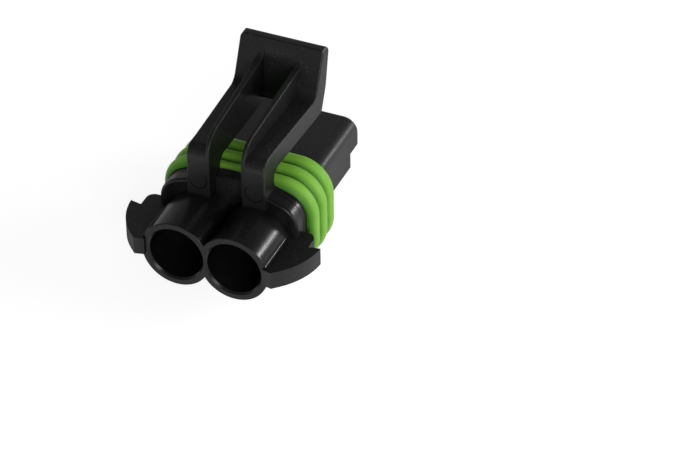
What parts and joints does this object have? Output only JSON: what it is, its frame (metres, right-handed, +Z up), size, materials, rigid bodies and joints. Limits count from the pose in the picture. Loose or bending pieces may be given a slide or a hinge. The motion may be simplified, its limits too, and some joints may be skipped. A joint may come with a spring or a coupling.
{
  "type": "sealed automotive connector housing",
  "caption": "Black sealed connector housing: stepped nose with T slots, green ribbed perimeter seal, round wire tubes with side wings, and a tall sprung lock lever.",
  "frame": {"origin": "middle of the overall length and width, at the level of the lowest face, which is the underside of the strap", "axes": "+Y along the mating direction, towards the nose; +Z up to the lock lever; +X across the two ways"},
  "size_m": [0.0354, 0.0418, 0.0333],
  "materials": {
    "black_plastic": "fine matte",
    "green_silicone": "satin"
  },
  "bodies": {
    "housing": {"housing": "black_plastic", "perimeter_seal": "green_silicone"},
    "latch": {"latch": "black_plastic"}
  },
  "joints": [
    {"name": "latch_hinge", "type": "hinge", "parent": "housing", "child": "latch", "pos_m": [0, -0.0107, 0.01895], "axis": [1, 0, 0], "range_deg": [0, 8], "stiffness_Nm_per_rad": 1}
  ]
}
